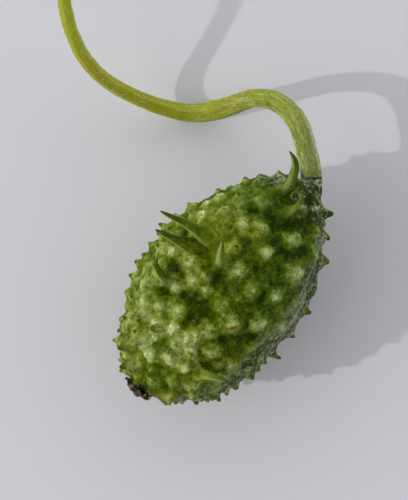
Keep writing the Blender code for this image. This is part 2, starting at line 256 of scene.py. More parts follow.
def makeCamera():
    data = bpy.data.cameras.new("camera")
    data.lens = cameraSetup["lens"]
    data.sensor_width = cameraSetup["sensor"]
    data.clip_start = cameraSetup["clipStart"]
    camera = newObject("camera", data)
    camera.location = cameraSetup["place"]
    camera.rotation_euler = (0.0, 0.0, cameraSetup["turn"])
    bpy.context.scene.camera = camera
    print("camera is set")


makeCamera()


# Fruit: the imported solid's turned outline, with finer warts, spines and spikes

fruitShape = {                      # millimetres
    "blossomHalf": 23.8,            # widest part to the blossom end
    "stalkHalf": 25.0,              # widest part to where the shoulder would close
    "radius": 14.4,
    "shoulderTaper": 0.3,
    "axisHeight": 14.0,
    "neckRadius": 2.02,
    "neckRise": 15.0,
    "neckBend": 23.6,
    "neckEnd": 25.5,
    "neckTurn": math.radians(34),
    "rimSnap": 0.14,
    "ball": (2, 39),                # the even ball that the skin starts from: steps and cuts
    "outlinePoints": 900,
    "rimPoints": 40,
    "swell": 0.2,
    "swellPitch": 2.6,
    "sideSwell": 0.35,              # how far the shoulder and the blossom end lie to one side
    "sidePlaces": ((12.0, 7.0), (-15.0, 6.0)),      # middle and width of each
    # small swells and dents, as (along, angle, height, foot radius)
    "swells": ((9.9, -1.5, 0.8, 3.4), (14.0, -1.5, 0.45, 2.5), (3.1, -1.5, 0.35, 3.0),
               (9.6, 1.5, 0.6, 4.5), (5.8, 1.4, 0.5, 2.2), (-22.7, -0.8, 0.4, 2.0),
               (-19.5, -1.45, -0.5, 5.0), (-16.5, 1.45, -0.35, 5.0)),
    "relief": (0.1, 1.3),           # small unevenness of the skin: height and size
    "grit": (0.035, 0.5),
    "wrinkle": (0.07, 0.9),         # fine ridges along the flanks
    "stretch": 0.12,                # how drawn out the ridges and streaks are
    "toneLumps": (0.4, 6.0),        # soft changes of lightness: strength and size
    "hueLumps": (0.35, 5.0),
    "upperFrom": 4.0,               # the listed areas are at their full strength above this
    "hollowDepth": 0.25,
    "endFade": (4.0, 1.5),          # swells and fine relief fade out this near to the ends
    "flank": (0.5, 0.45),           # sideways share where the flank starts, and its spread
    "litEdgeSide": (-0.95, 0.05, 0.3),  # spines and spikes are painted lighter on this side, towards the light: a painted highlight
    "litEdgeSharpness": 4,
}

wartShape = {                       # millimetres
    "count": 236,
    "tries": 60,
    "seed": 11,
    "foot": 2.1,
    "height": (0.75, 1.0),
    "reach": (-22.6, 22.4),
    "crowding": 0.1,
    "size": (0.85, 1.15),
    "unevenness": (0.35, 1.4),      # strength and size
    "bright": (0.65, 1.0),
    "pale": (0.3, 1.9),             # full out to the first, and gone this much further out
    "whiteAndGlint": ((0.6, 0.7), (0.7, 0.28)),      # strength and width of the whitish middle, partly a painted highlight
    "spineLength": (0.3, 1.1),
    "spineLean": 0.35,
    "spineFoot": (0.6, 0.8),
    "extraBend": (0.1, 0.9),        # radians
    # seen spines are kept dark, partly their own colour and partly painted shade, and unseen ones
    # lighter
    "spineLightness": (0.0, 0.25),
    "unseenLighter": 0.4,
    "spineColour": 0.55,            # how far a short spine takes on the spikes' colours
    "stubShare": 0.3,
    "bareBelow": 3.2,
    "spikeFoot": 2.0,
    "spikeFlare": 0.25,             # share of a spike's length that its foot spreads over
    "routePoints": {"spine": 24, "spike": 60},
    "blend": 0.22,                  # share of the foot where the skin turns into the spine
    "gather": 1.5,                  # skin nearer than this is drawn in to a wart's middle
    "spikeGather": 3.0,
    "gatherPower": 0.5,
    # two rounds of finer faces, within these distances of a wart's middle
    "finer": ({"spine": 0.85, "spike": 2.7, "ring": 0.8, "pit": 0.6}, {"spike": 1.5}),
}

plainMound = [(mound, 0.14, 0.0, 1.1)]

# Each kind of wart: how bright its middle is painted, partly as a highlight, and what is added
# to its mound, as (form, height, distance from the middle, width)
wartKinds = {
    "dome": (1.0, [(mound, 0.22, 0.0, 1.2)]),
    "ring": (0.3, [(bell, 0.16, 0.7, 0.24), (bell, -0.2, 0.0, 0.4), (mound, 0.08, 0.0, 1.6)]),
    "pit": (0.15, [(bell, 0.1, 0.55, 0.22), (bell, -0.28, 0.0, 0.3)]),
    "dot": (0.6, [(mound, 0.2, 0.0, 1.0), (bell, -0.1, 0.1, 0.2)]),
    "scar": (0.15, [(mound, 0.2, 0.0, 1.4), (bell, -0.12, 0.0, 0.4)]),
    "plain": (0.4, plainMound),
    "spine": (0.15, plainMound),
    "spike": (0.15, plainMound),
}

# Places on the upper side with no wart, as (along, across)
hollows = [(-6.6, 0.9), (-5.9, -7.6)]

# The warts of this stretch are all listed below: along from and to, angle from and to
listedStretch = (-5.5, 20.0, -2.05, 0.75)

# A row of bare warts below the outline, at this angle and these places along
lowerRow = (-1.93, (-4.0, 0.2, 4.4, 8.6, 12.6, 16.4, 19.8))

# Warts without a spine that are seen from above, as (along, across, kind, size)
seenWarts = [
    (4.4, -7.6, "dome", 1.05), (9.4, -1.6, "dome", 0.95), (3.8, -0.1, "dome", 1.1),
    (10.1, -8.0, "ring", 1.5), (-0.9, -8.7, "ring", 1.3), (-4.0, -5.1, "scar", 1.5),
    (2.9, -4.0, "dot", 1.2), (-2.7, -1.5, "pit", 1.05), (5.9, -11.2, "plain", 0.95),
    (14.3, -4.0, "pit", 1.25), (18.1, -6.0, "plain", 0.9), (14.6, -8.3, "plain", 1.1),
    (12.5, 1.6, "dot", 1.1), (10.8, 4.5, "plain", 0.9), (-9.8, -1.2, "ring", 1.4),
    (-10.0, -5.7, "pit", 1.2), (-9.5, -9.8, "ring", 1.1), (-15.1, -3.6, "dome", 1.0),
    (-2.1, 2.2, "plain", 0.85), (-8.0, 3.4, "dome", 1.1), (-10.5, 9.3, "dome", 0.95),
    (0.1, 7.4, "pit", 1.4), (7.9, 10.8, "dot", 1.1), (1.1, -12.4, "dome", 0.9),
    (-5.2, 6.5, "plain", 0.9), (-10.9, 2.2, "dome", 0.95), (-17.2, 2.5, "pit", 1.1),
    (-15.4, -0.3, "plain", 0.9), (-4.8, -10.3, "plain", 0.9), (-2.3, 4.7, "dome", 0.85),
    (19.6, -1.9, "plain", 0.8), (-9.6, 6.7, "plain", 0.75),
]

# Spines that are seen, as (along, across, length, foot radius, bearing, bend): the bearing is
# the way that the tip leans, in degrees from +X to +Y. An across of 15 is on the outline.
seenSpines = [
    (21.8, -15, 1.6, 1.05, -50, 5), (18.6, -15, 1.1, 0.7, -120, 80),
    (14.9, -15, 1.3, 1.3, -70, 10), (6.1, -15, 0.9, 0.75, -60, 20),
    (1.2, -15, 0.5, 0.55, -50, 30), (-3.5, -15, 1.7, 0.7, -60, 25),
    (-7.4, -15, 0.7, 0.9, -100, 15), (-9.0, -15, 1.0, 0.9, -120, 20),
    (-12.2, -15, 1.0, 1.1, -110, 20), (-15.6, -15, 1.5, 0.9, -100, 15),
    (-17.1, -15, 0.7, 0.7, -120, 10), (-18.7, -15, 1.2, 0.9, -140, 10),
    (-22.3, -15, 0.5, 0.8, -150, 10), (-18.5, 6.0, 2.3, 1.05, 135, 40),
    (-20.7, 3.9, 2.5, 1.15, 140, 30), (-16.4, 15, 0.3, 0.7, 120, 10),
    (-11.8, 15, 0.3, 0.7, 120, 10), (-6.3, 15, 0.8, 0.8, 100, 10),
    (1.6, 15, 1.2, 0.7, 110, 30), (12.8, 15, 0.6, 0.9, 60, 10),
    (17.4, 15, 0.8, 0.9, 70, 10), (19.7, 15, 0.3, 0.8, 50, 10),
    (13.9, 7.7, 1.0, 0.9, 60, 30), (15.8, 4.4, 2.3, 1.1, -19, 60),
    (-6.9, 8.3, 2.8, 1.6, 130, 60), (-12.8, 7.1, 2.0, 1.25, 150, 60),
    (-12.6, 4.3, 1.9, 1.25, 130, 60), (-14.3, 2.1, 2.4, 1.4, 130, 65),
    (-16.4, 4.8, 1.5, 0.95, 140, 50), (-19.1, -0.1, 1.9, 1.05, 150, 60),
    (-18.3, -4.0, 1.3, 0.85, -160, 45), (-21.0, -1.3, 1.3, 0.9, 170, 40),
    (-22.3, 1.2, 1.2, 0.9, 150, 40), (6.8, 2.9, 0.9, 0.7, -103, 70),
    (-0.3, 3.7, 1.5, 0.65, -21, 65), (22.2, 1.4, 1.0, 0.65, -50, 45),
]

# Fleshy spikes, each as points (along, across, above the axis, radius) in millimetres
spikes = {
    "long": [(5.5, 6.2, 11.0, 1.9), (5.1, 8.2, 13.2, 1.45), (4.7, 10.6, 14.8, 0.84),
             (4.2, 13.2, 16.1, 0.54), (3.7, 15.2, 16.9, 0.4), (3.4, 16.6, 17.3, 0.27)],
    "second": [(2.6, 7.2, 10.6, 1.85), (1.9, 9.0, 12.3, 1.4), (1.2, 11.4, 13.7, 0.72),
               (0.7, 13.6, 14.6, 0.47), (0.35, 15.0, 15.0, 0.29)],
    "neck": [(19.6, 2.3, 5.2, 1.4), (21.8, 2.15, 7.4, 1.05), (23.5, 2.6, 8.8, 0.85),
             (24.9, 3.4, 9.6, 0.68), (25.7, 4.6, 10.2, 0.48), (26.1, 5.9, 10.6, 0.24)],
    "curl": [(16.9, 0.2, 8.2, 1.2), (18.3, -0.6, 10.3, 0.8), (19.8, -0.8, 11.2, 0.45),
             (21.1, -0.55, 11.2, 0.35), (21.4, 0.4, 11.0, 0.3), (20.9, 1.15, 11.3, 0.26),
             (20.1, 1.1, 11.6, 0.22), (19.8, 0.3, 11.9, 0.16)],
    "upright": [(3.0, 2.5, 12.8, 1.3), (4.0, 3.8, 15.6, 0.78), (5.3, 4.7, 17.2, 0.5),
                (6.4, 5.4, 18.1, 0.24)],
    "hook": [(-4.9, 7.4, 10.8, 1.6), (-5.1, 8.8, 12.5, 1.05), (-4.9, 10.3, 13.2, 0.72),
             (-4.2, 11.4, 13.2, 0.48), (-3.4, 11.8, 12.7, 0.25)],
    "low": [(-14.0, -6.0, 9.3, 1.3), (-13.6, -7.0, 10.9, 0.84), (-13.0, -8.3, 11.7, 0.58),
            (-12.4, -9.5, 12.0, 0.46), (-12.0, -10.3, 11.9, 0.3)],
}

# How light each spike is, from dark to pale green: the dark ones are their own dark green, deepened
# with painted shade
spikeLightness = {
    "long": 0.25, "second": 0.12, "neck": 0.4, "curl": 0.55, "upright": 0.6, "hook": 0.15,
    "low": 0.7,
}

# Lighter and darker areas of the upper side, as (along, across, radius, strength)
toneAreas = [
    (-14.0, 6.0, 8.0, 1.0), (-13.0, -3.0, 7.0, 0.68), (-2.5, 8.5, 5.0, 0.6), (-1.5, 11.5, 3.0, 0.3),
    (8.5, 6.5, 4.5, 0.5), (7.0, 12.0, 5.0, 0.2), (14.0, 9.0, 5.0, 0.2), (18.5, 4.5, 3.5, 0.3),
    (6.5, -3.5, 3.5, 0.25), (17.5, -4.5, 5.0, -0.3), (12.0, -9.5, 4.0, -0.2),
    (4.6, 4.6, 1.8, 0.6), (12.5, 6.6, 1.0, 0.7), (10.9, 5.0, 0.9, 0.7), (9.4, 3.6, 0.8, 0.6),
    (1.5, -12.5, 3.5, 0.7), (-5.5, -11.0, 3.0, 0.3),
]

# Areas with a yellower skin, or with a bluer one below 0, as (along, across, radius, strength)
hueAreas = [
    (6.5, 6.5, 4.0, 1.0), (4.0, 9.5, 3.0, 0.8), (-14.0, -7.5, 2.0, 0.8), (11.0, 1.0, 3.0, 0.4),
    (17.0, 3.0, 5.0, -0.9), (13.0, -6.0, 6.0, -0.6), (4.0, -7.0, 6.0, -0.5), (2.0, 1.5, 3.5, -0.4),
    (14.0, 9.5, 4.0, -0.6), (-10.0, 12.0, 4.0, -0.3),
]

# Hollows between the warts, sunk a little and painted dark: their own darker green, deepened with
# painted shade, as (along, across, radius, strength)
shadedHollows = [
    (-5.9, 1.2, 2.5, 1.9), (-8.6, 1.0, 1.4, 1.5), (-5.6, -7.6, 2.2, 0.8), (0.6, 1.9, 1.9, 0.9),
    (-7.2, 7.9, 1.4, 2.0), (-5.3, 4.7, 0.9, 1.5), (-2.9, 9.3, 1.5, 2.2), (3.0, 11.5, 1.1, 1.0),
    (-13.7, 7.6, 0.9, 1.8), (-12.1, 3.7, 0.8, 1.1), (-14.2, 1.8, 1.1, 1.9),
    (-14.8, -4.9, 0.6, 1.3), (-18.4, -0.3, 0.8, 1.5), (-21.2, 4.4, 0.8, 1.6),
    (-19.0, 6.4, 0.8, 1.6), (-17.8, -4.3, 0.8, 1.3), (-10.5, 4.6, 0.9, 1.0),
    (-22.4, 0.0, 0.6, 1.4), (-11.3, -7.4, 1.5, 2.0), (-7.2, -5.2, 1.4, 0.9),
    (-3.2, -9.4, 1.2, 0.7), (8.7, 2.8, 1.2, 1.0), (13.5, -6.2, 1.0, 1.1), (11.6, -5.2, 1.1, 0.9),
    (11.6, -10.3, 1.2, 1.3), (8.9, -11.8, 1.3, 1.3), (16.2, 1.9, 1.6, 0.8), (14.3, 4.4, 0.9, 1.0),
    (7.2, -1.9, 1.5, 0.4), (17.0, -3.4, 1.6, 0.6), (-18.9, -0.5, 0.9, 1.0),
    (-21.3, -1.6, 0.9, 1.0), (-22.2, 1.0, 0.8, 1.0), (2.0, -6.5, 1.5, 0.5),
    (-23.2, -0.6, 0.6, 2.5),
]

# Colours from the darkest hollow to the palest wart, and of the spines
skinColours = [
    (0.0, (0.016, 0.03, 0.0002)), (0.18, (0.04, 0.067, 0.0004)), (0.36, (0.092, 0.132, 0.002)),
    (0.52, (0.163, 0.212, 0.023)), (0.68, (0.278, 0.332, 0.08)), (0.84, (0.435, 0.49, 0.2)),
    (1.0, (0.7, 0.76, 0.46)),
]
warmColours = [
    (0.0, (0.017, 0.032, 0.0004)), (0.36, (0.095, 0.14, 0.002)), (0.6, (0.21, 0.26, 0.012)),
    (0.8, (0.38, 0.43, 0.05)), (1.0, (0.65, 0.7, 0.3)),
]
coolColours = [
    (0.0, (0.012, 0.03, 0.0006)), (0.36, (0.07, 0.125, 0.003)), (0.6, (0.18, 0.255, 0.045)),
    (0.8, (0.35, 0.43, 0.155)), (1.0, (0.68, 0.75, 0.44)),
]
spikeColours = [
    (0.0, (0.035, 0.058, 0.001)), (0.4, (0.09, 0.15, 0.004)), (0.75, (0.17, 0.24, 0.02)),
    (1.0, (0.3, 0.35, 0.08)),
]

# Whitish spots on the warts, partly painted highlights, as (along, across, radius, strength)
paleSpots = [
    (2.4, 3.4, 0.75, 1.1), (10.1, -8.0, 1.3, 0.45), (-0.9, -8.7, 1.2, 0.35), (-4.0, -5.1, 1.3, 0.4),
    (3.8, -0.1, 0.5, 1.1), (9.4, -1.6, 0.35, 1.2), (4.4, -7.6, 0.4, 1.2), (2.9, -4.0, 0.35, 1.0),
]

# Ochre stains, as (along, across, radius, strength)
stains = [(-22.5, -3.6, 1.9, 0.12), (-20.0, -5.6, 0.9, 0.12)]


def coreRadius(along):
    # radius between the warts at a place along the fruit, with the neck
    side = along / np.where(along > 0.0, fruitShape["stalkHalf"], fruitShape["blossomHalf"])
    body = fruitShape["radius"] * np.sqrt(np.clip(1.0 - side ** 2, 0.0, None))
    body = body * (1.0 - fruitShape["shoulderTaper"] * np.clip(side, 0.0, None) ** 2)
    rise = (along - fruitShape["neckRise"]) / (fruitShape["neckBend"] - fruitShape["neckRise"])
    neck = fruitShape["neckRadius"] * smoothStep(rise)
    return np.cbrt(body ** 3 + neck ** 3)


def makeOutline():
    # distance along the outline, place along the axis, radius and share of the area
    turn = np.linspace(0.0, math.pi, fruitShape["outlinePoints"])
    half = np.where(turn < math.pi / 2, fruitShape["blossomHalf"], fruitShape["neckEnd"])
    along = -half * np.cos(turn)
    radius = coreRadius(along)
    rim = len(along) - 1
    cap = np.linspace(1.0, 0.0, fruitShape["rimPoints"])[1:]
    along = np.concatenate([along, np.full(len(cap), fruitShape["neckEnd"])])
    radius = np.concatenate([radius, radius[rim] * cap])
    step = np.hypot(np.diff(along), np.diff(radius))
    distance = runningSum(step)
    area = runningSum(step * 0.5 * (radius[1:] + radius[:-1]))
    return distance, along, radius, area / area[-1], distance[rim]


fruitOutline = makeOutline()


def turnedPoints(share, angle):
    # points and normals on the core, for shares of its area and angles round its axis
    distance, along, radius, area, rim = fruitOutline
    place = np.interp(share, area, distance)
    place = np.where(np.abs(place - rim) < fruitShape["rimSnap"], rim, place)
    x = np.interp(place, distance, along)
    r = np.interp(place, distance, radius)
    slopeX = np.interp(place, distance, np.gradient(along, distance))
    slopeR = np.interp(place, distance, np.gradient(radius, distance))
    points = np.stack([x, r * np.sin(angle), r * np.cos(angle)], axis=-1)
    normals = np.stack([-slopeR, slopeX * np.sin(angle), slopeX * np.cos(angle)], axis=-1)
    return points, unit(normals)


def shareAt(x):
    return np.interp(x, fruitOutline[1], fruitOutline[3])


def leanNeck(points):
    # turns the neck over towards the stalk, about the middle of its end
    bend, end = fruitShape["neckBend"], fruitShape["neckEnd"]
    turn = fruitShape["neckTurn"] * smoothStep((points[:, 0] - bend) / (end - bend))
    x = points[:, 0] - end
    y = points[:, 1]
    leaned = points.copy()
    leaned[:, 0] = end + x * np.cos(turn) - y * np.sin(turn)
    leaned[:, 1] = x * np.sin(turn) + y * np.cos(turn)
    return leaned


def angleAt(along, across):
    reach = across / float(coreRadius(np.array(along)))
    return math.asin(min(1.0, max(-1.0, reach)))


class Wart:
    # a mound on the core, bare or with a spine, or where a spine has broken off

    def __init__(self, centre, normal, draw, looks, seen):
        self.centre = centre
        self.normal = normal
        self.height = draw.uniform(*wartShape["height"])
        low = centre[2] + fruitShape["axisHeight"] < wartShape["bareBelow"]
        stub = low or (seen is None and draw.random() < wartShape["stubShare"])
        self.length = draw.uniform(*wartShape["spineLength"])
        side = np.array([draw.uniform(-1, 1) for _ in range(3)])
        side -= normal * side.dot(normal)
        self.toTip = unit(side)
        self.bend = math.atan(wartShape["spineLean"] * lengths(side))
        self.bend += looks.uniform(*wartShape["extraBend"])
        self.foot = looks.uniform(*wartShape["spineFoot"])
        self.bright = looks.uniform(*wartShape["bright"])
        self.size = looks.uniform(*wartShape["size"])
        self.lightness = looks.uniform(*wartShape["spineLightness"])
        self.kind, *told = seen or ("pit" if stub else "spine",)
        self.shine, self.relief = wartKinds[self.kind]
        self.spike = told[0] if self.kind == "spike" else None
        self.gather = wartShape["spikeGather" if self.spike else "gather"]
        if seen is None:
            self.lightness += wartShape["unseenLighter"]
        elif self.kind == "spike":
            self.foot = wartShape["spikeFoot"]
            self.lightness = spikeLightness[self.spike]
        elif self.kind == "spine":
            self.length, self.foot, bearing, bend = told
            self.bend = math.radians(bend)
            turn = math.radians(bearing)
            heading = np.array([math.cos(turn), math.sin(turn), 0.0])
            self.toTip = unit(heading - normal * heading.dot(normal))
        else:
            self.size = told[0]

    def risen(self, apart):
        # what the wart's own kind adds to its mound
        return sum(height * form(apart - middle, width)
                   for form, height, middle, width in self.relief)

    def scarred(self, points, apart):
        # a line across a scar, a spot beside a dot, and a faint one in a ring or a pit
        if self.kind == "scar":
            across = np.abs((points - self.centre) @ np.array([0.5, 0.86, 0.0]) + 0.3)
            return 0.9 * bell(across, 0.28) * bell(apart, 0.95)
        if self.kind == "dot":
            beside = lengths(points - self.centre - [-0.5, 0.1, 0.0])
            return 0.6 * bell(beside, 0.26)
        if self.kind in ("ring", "pit"):
            return 0.3 * (1.2 - self.bright) * bell(apart, 0.35)
        return np.zeros(len(points))


def pointsAt(rows):
    # points and normals on the core, for rows that start with a share and an angle
    return turnedPoints(np.array([row[0] for row in rows]), np.array([row[1] for row in rows]))


def wartPlaces():
    # seen warts first, then the rest, each at the roomiest of many places drawn by a seed
    draw = random.Random(wartShape["seed"])
    looks = random.Random(wartShape["seed"] + 1)
    rows = [(shareAt(x), angleAt(x, y), tuple(rest)) for x, y, *rest in seenWarts]
    rows += [(shareAt(x), lowerRow[0], ("plain", 1.0)) for x in lowerRow[1]]
    rows += [(shareAt(x), angleAt(x, y), ("spine", *rest)) for x, y, *rest in seenSpines]
    for name, route in spikes.items():
        x, y, above, _ = route[0]
        rows.append((shareAt(x), math.atan2(y, above), ("spike", name)))
    kept, _ = pointsAt([(shareAt(x), angleAt(x, y)) for x, y in hollows] + rows)
    low, high = (shareAt(x) for x in wartShape["reach"])
    while len(rows) < wartShape["count"]:
        tries = np.array([(draw.uniform(low, high), draw.uniform(0, 2 * math.pi))
                          for _ in range(wartShape["tries"])])
        offered, _ = turnedPoints(*tries.T)
        room = lengths(offered[:, None] - kept[None]).min(axis=1)
        room = room * (1.0 - wartShape["crowding"] * offered[:, 0] / fruitShape["stalkHalf"])
        room[inListedStretch(offered)] = 0.0
        best = int(np.argmax(room))
        kept = np.vstack([kept, offered[best]])
        rows.append((*tries[best], None))
    points, normals = pointsAt(rows)
    return [Wart(p, n, draw, looks, row[2]) for p, n, row in zip(points, normals, rows)]


def inListedStretch(points):
    first, last, least, most = listedStretch
    angle = np.arctan2(points[:, 1], points[:, 2])
    return (points[:, 0] > first) & (points[:, 0] < last) & (angle > least) & (angle < most)


def nearestWart(points, warts):
    # for each point, which wart is nearest and how far off it is
    nearest = np.zeros(len(points), dtype=int)
    apart = np.full(len(points), 1e9)
    for index, wart in enumerate(warts):
        away = lengths(points - wart.centre)
        closer = away < apart
        apart[closer] = away[closer]
        nearest[closer] = index
    return nearest, apart


def ballPlaces(points):
    # the ball's area is shared out evenly along the outline
    ball = unit(points)
    return 0.5 * (1.0 + ball[:, 2]), np.arctan2(ball[:, 0], ball[:, 1])


def refine(ball, warts, reach):
    # finer faces round each wart whose kind is listed, out to the distance given
    mesh = ball.data
    core, _ = turnedPoints(*ballPlaces(meshPoints(mesh)))
    near = np.zeros(len(core), dtype=bool)
    for wart in warts:
        near |= lengths(core - wart.centre) < reach.get(wart.kind, 0.0)
    chosen = [bool(near[list(face.vertices)].all()) for face in mesh.polygons]
    mesh.polygons.foreach_set("select", chosen)
    bpy.ops.object.mode_set(mode="EDIT")
    bpy.ops.mesh.subdivide(number_cuts=1)
    bpy.ops.mesh.select_all(action="SELECT")
    bpy.ops.mesh.quads_convert_to_tris()
    bpy.ops.mesh.select_all(action="DESELECT")
    bpy.ops.object.mode_set(mode="OBJECT")


def gathered(share, angle, warts):
    # draws the skin in towards the nearest wart's middle, so that a spine has faces enough
    points, _ = turnedPoints(share, angle)
    nearest, apart = nearestWart(points, warts)
    centres = np.array([wart.centre for wart in warts])
    spaces = lengths(centres[:, None] - centres[None])
    np.fill_diagonal(spaces, 1e9)
    reach = np.minimum([wart.gather for wart in warts], 0.5 * spaces.min(axis=1))[nearest]
    inside = apart < reach
    pull = (apart[inside] / reach[inside]) ** wartShape["gatherPower"]
    middle = centres[nearest[inside]]
    moved = middle + (points[inside] - middle) * pull[:, None]
    share = share.copy()
    angle = angle.copy()
    share[inside] = shareAt(moved[:, 0])
    angle[inside] = np.arctan2(moved[:, 1], moved[:, 2])
    return share, angle


def curveThrough(places, values, wanted):
    # a smooth curve through values given at uneven places
    slopes = np.gradient(values, places)
    index = np.clip(np.searchsorted(places, wanted, side="right") - 1, 0, len(places) - 2)
    width = places[index + 1] - places[index]
    t = (wanted - places[index]) / width
    rest = 1.0 - t
    start = rest ** 2 * ((1.0 + 2.0 * t) * values[index] + t * width * slopes[index])
    end = t ** 2 * ((1.0 + 2.0 * rest) * values[index + 1] - rest * width * slopes[index + 1])
    return start + end


def spineRoute(wart, base):
    # middle line and radius from foot to tip: blunt, and curving over
    along = np.linspace(0.0, 1.0, wartShape["routePoints"]["spine"])
    tilt = wart.bend * smoothStep(1.2 * along)
    forward = np.cos(tilt)[:, None] * wart.normal + np.sin(tilt)[:, None] * wart.toTip
    steps = 0.5 * (forward[1:] + forward[:-1]) * wart.length / (len(along) - 1)
    route = base + np.vstack([np.zeros(3), np.cumsum(steps, axis=0)])
    waist = 0.62 + 0.38 * (1.0 - along) ** 3
    radii = wart.foot * waist * (1.0 - 0.15 * along) * np.sqrt(1.0 - along ** 4)
    return route, radii


def spikeRoute(wart, base):
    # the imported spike's own points, from where it leaves the skin, with a flared foot
    rows = np.array(spikes[wart.spike])
    places = rows[:, :3] - rows[0, :3]
    far = runningSum(lengths(np.diff(places, axis=0)))
    fine = np.linspace(0.0, far[-1], wartShape["routePoints"]["spike"])
    smooth = np.stack([curveThrough(far, places[:, k], fine) for k in range(3)], axis=-1)
    radii = curveThrough(far, rows[:, 3], fine)
    share = fine / far[-1]
    flare = (wart.foot - radii[0]) * np.clip(1.0 - share / wartShape["spikeFlare"], 0.0, None) ** 2
    radii = (radii + flare) * np.sqrt(1.0 - share ** 14)
    return base + smooth, radii


def carriedFrames(route, normal, start):
    # two directions across the route at each of its points, carried along without twist
    forward = unit(np.gradient(route, axis=0))
    across = start
    before = normal
    firsts = []
    for ahead in forward:
        axis = np.cross(before, ahead)
        cosine = float(np.clip(before.dot(ahead), -0.99, 1.0))
        across = across * cosine + np.cross(axis, across) + axis * axis.dot(across) / (1.0 + cosine)
        across = unit(across - ahead * across.dot(ahead))
        firsts.append(across)
        before = ahead
    firsts = np.array(firsts)
    return firsts, np.cross(forward, firsts)


def pullOut(wart, core, skin, spineShare, lightness, litEdge):
    # draws the skin round a wart's middle out into its spine or spike
    offset = core - wart.centre
    near = lengths(offset) < wart.foot + 1.0
    offset = offset - (offset @ wart.normal)[:, None] * wart.normal
    apart = lengths(offset)
    inside = (apart < wart.foot) & near
    if not inside.any():
        return
    rim = int(np.argmax(np.where(inside, apart, 0.0)))
    height = (skin[rim] - wart.centre).dot(wart.normal)
    base = wart.centre + wart.normal * height
    route, radii = (spikeRoute if wart.spike else spineRoute)(wart, base)
    start = unit(np.cross(wart.normal, [0.0, 0.6, 0.8]))
    firsts, seconds = carriedFrames(route, wart.normal, start)
    far = runningSum(np.hypot(lengths(np.diff(route, axis=0)), np.diff(radii)))
    steps = np.arange(len(far))
    inward = 1.0 - apart[inside] / wart.foot
    step = np.interp(inward * far[-1], far, steps)

    def at(values):
        return np.stack([np.interp(step, steps, values[:, k]) for k in range(3)], axis=-1)

    outward = unit(offset[inside] + 1e-9)
    cosine = (outward @ start)[:, None]
    sine = (outward @ np.cross(wart.normal, start))[:, None]
    radius = np.interp(step, steps, radii)[:, None]
    around = cosine * unit(at(firsts)) + sine * unit(at(seconds))
    pulled = at(route) + radius * around
    blend = smoothStep(inward / wartShape["blend"])[:, None]
    skin[inside] = skin[inside] * (1.0 - blend) + pulled * blend
    coloured = 1.0 if wart.spike else wartShape["spineColour"]
    spineShare[inside] = coloured * step / steps[-1]
    lightness[inside] = wart.lightness
    # a painted highlight along the side of the spine or spike that faces the light
    facing = np.clip(around @ fruitShape["litEdgeSide"], 0.0, 1.0)
    litEdge[inside] = facing ** fruitShape["litEdgeSharpness"]


def wartRelief(core, warp, warts):
    # how far the warts raise the skin, how pale and scarred they make it, and how bright their
    # middles are, partly as a painted highlight
    rise, pale, whiteAndGlint, scar = np.zeros((4, len(core)))
    full, fade = wartShape["pale"]
    for wart in warts:
        apart = lengths(core - wart.centre)
        uneven = apart * warp / wart.size
        rise += wart.height * mound(uneven, wartShape["foot"]) + wart.risen(uneven)
        pale = np.maximum(pale, wart.bright * (1.0 - smoothStep((uneven - full) / fade)))
        shine = sum(strength * bell(uneven, width) for strength, width in wartShape["whiteAndGlint"])
        whiteAndGlint = np.maximum(whiteAndGlint, wart.shine * wart.bright * shine)
        scar = np.maximum(scar, wart.scarred(core, apart))
    return rise, pale, whiteAndGlint, scar


def bodyRelief(core, angle, fibres, bumps):
    # swells of the whole body, and the fine unevenness of its skin
    x, y, z = core.T / fruitShape["swellPitch"]
    wave = np.sin(x) * np.sin(y + 1.0) + np.cos(z + 0.5 * x)
    ends = np.minimum(core[:, 0] + fruitShape["blossomHalf"], fruitShape["neckBend"] - core[:, 0])
    swellFade, fineFade = fruitShape["endFade"]
    rise = 0.5 * fruitShape["swell"] * wave * smoothStep(ends / swellFade)
    for middle, width in fruitShape["sidePlaces"]:
        rise -= fruitShape["sideSwell"] * np.sin(angle) * bell(core[:, 0] - middle, width)
    for along, turn, height, foot in fruitShape["swells"]:
        middle, _ = turnedPoints(shareAt(along), turn)
        rise += height * mound(lengths(core - middle), foot)
    grit, gritSize = fruitShape["grit"]
    wrinkle, wrinkleSize = fruitShape["wrinkle"]
    start, spread = fruitShape["flank"]
    flank = smoothStep((np.abs(np.sin(angle)) - start) / spread)
    fine = fruitShape["relief"][0] * bumps + grit * lumps(core, gritSize, 2)
    fine += wrinkle * lumps(fibres, wrinkleSize, 2) * (0.2 + 0.8 * flank)
    return rise + fine * smoothStep(ends / fineFade)


